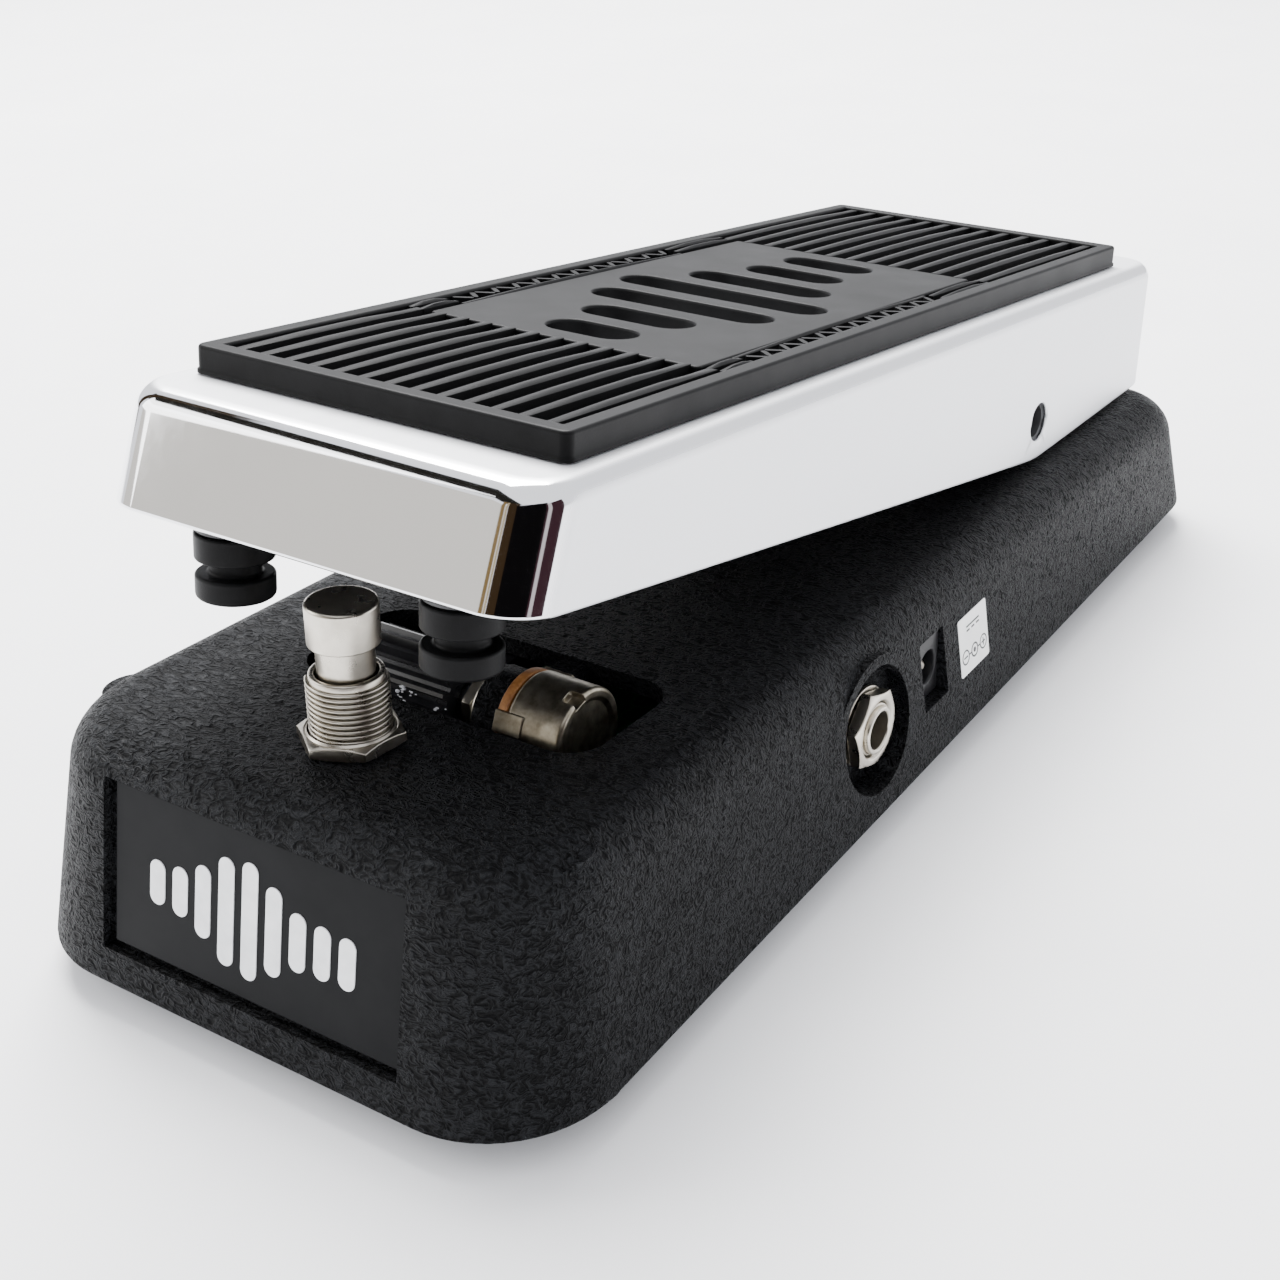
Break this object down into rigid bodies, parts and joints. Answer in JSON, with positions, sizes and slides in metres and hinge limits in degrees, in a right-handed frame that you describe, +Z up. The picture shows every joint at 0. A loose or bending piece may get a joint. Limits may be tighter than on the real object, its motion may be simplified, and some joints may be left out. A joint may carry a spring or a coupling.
{
  "type": "guitar effects pedal",
  "caption": "Rocker-treadle guitar effects pedal: cast base, plated treadle with rubber tread, foot switch, rack and pinion to a potentiometer, jacks and supply socket.",
  "frame": {"origin": "on the ground under the middle of the base", "axes": "-Y towards the toe, +Y towards the heel, +X towards the side with the input jack, +Z up"},
  "size_m": [0.102, 0.252, 0.0916],
  "materials": {
    "wrinkle_coat": "black wrinkle powder coat on cast metal",
    "chrome": "polished chrome plate",
    "rubber": "black moulded rubber",
    "nickel": "bright nickel plate",
    "steel": "zinc-plated steel",
    "black_nylon": "moulded black nylon",
    "white_nylon": "moulded natural nylon",
    "phenolic": "brown phenolic",
    "tarnished_nickel": "dull tarnished nickel",
    "black_plastic": "black plastic",
    "board": "green solder mask",
    "film_capacitor": "dipped film",
    "battery_skin": "printed metal jacket"
  },
  "bodies": {
    "base": {"base_casing": "wrinkle_coat", "base_plate": "steel", "battery": "battery_skin", "battery_snap": "black_plastic", "board_rail_left": "white_nylon", "board_rail_right": "white_nylon", "capacitor_1": "film_capacitor", "capacitor_2": "film_capacitor", "capacitor_3": "film_capacitor", "circuit_board": "board", "clamp_screw_heel": "steel", "clamp_screw_toe": "steel", "dc_pin": "nickel", "dc_socket": "black_plastic", "foot_heel_left": "rubber", "foot_heel_right": "rubber", "foot_screw_heel_left": "steel", "foot_screw_heel_right": "steel", "foot_screw_toe_left": "steel", "foot_screw_toe_right": "steel", "foot_toe_left": "rubber", "foot_toe_right": "rubber", "friction_clamp": "steel", "friction_sleeve": "white_nylon", "front_plate": "black_plastic", "guide_screw": "steel", "inductor": "phenolic", "input_jack_body": "black_plastic", "input_jack_nut": "nickel", "input_jack_sleeve": "nickel", "input_jack_washer": "nickel", "output_jack_body": "black_plastic", "output_jack_nut": "nickel", "output_jack_sleeve": "nickel", "output_jack_washer": "nickel", "pivot_bush_left": "white_nylon", "pivot_bush_right": "white_nylon", "pot_bushing": "nickel", "pot_can": "tarnished_nickel", "pot_nut": "nickel", "pot_wafer": "phenolic", "pot_washer": "steel", "rack_guide": "steel", "switch_body": "black_plastic", "switch_bushing": "nickel", "switch_lock_nut": "steel", "switch_nut": "nickel", "transistor_1": "black_plastic", "transistor_2": "black_plastic"},
    "treadle": {"treadle": "chrome", "tread_pad": "rubber", "bumper_left": "rubber", "bumper_right": "rubber", "pivot_shaft": "steel", "rack_pin": "steel"},
    "pinion": {"pinion": "black_nylon", "pot_shaft": "steel"},
    "rack": {"rack": "black_nylon"},
    "button": {"switch_button": "nickel"}
  },
  "joints": [
    {"name": "treadle_pivot", "type": "hinge", "parent": "base", "child": "treadle", "pos_m": [0, 0.06, 0.0421], "axis": [1, 0, 0], "range_deg": [0, 6.25]},
    {"name": "rack_slide", "type": "slide", "parent": "base", "child": "rack", "axis": [0, 0, -1], "range_m": [0, 0.01408]},
    {"name": "pinion_spin", "type": "hinge", "parent": "base", "child": "pinion", "pos_m": [0, -0.075, 0.0373], "axis": [-1, 0, 0], "range_deg": [0, 118.9]},
    {"name": "switch_press", "type": "slide", "parent": "base", "child": "button", "axis": [0, -0.0499, -0.9988], "range_m": [0, 0.0025], "stiffness_N_per_m": 2500, "springref_m": -0.004}
  ],
  "couplings": [
    {"joint": "rack_slide", "follows": "treadle_pivot", "m_per_rad": 0.12729},
    {"joint": "pinion_spin", "follows": "treadle_pivot", "ratio": 18.857}
  ]
}
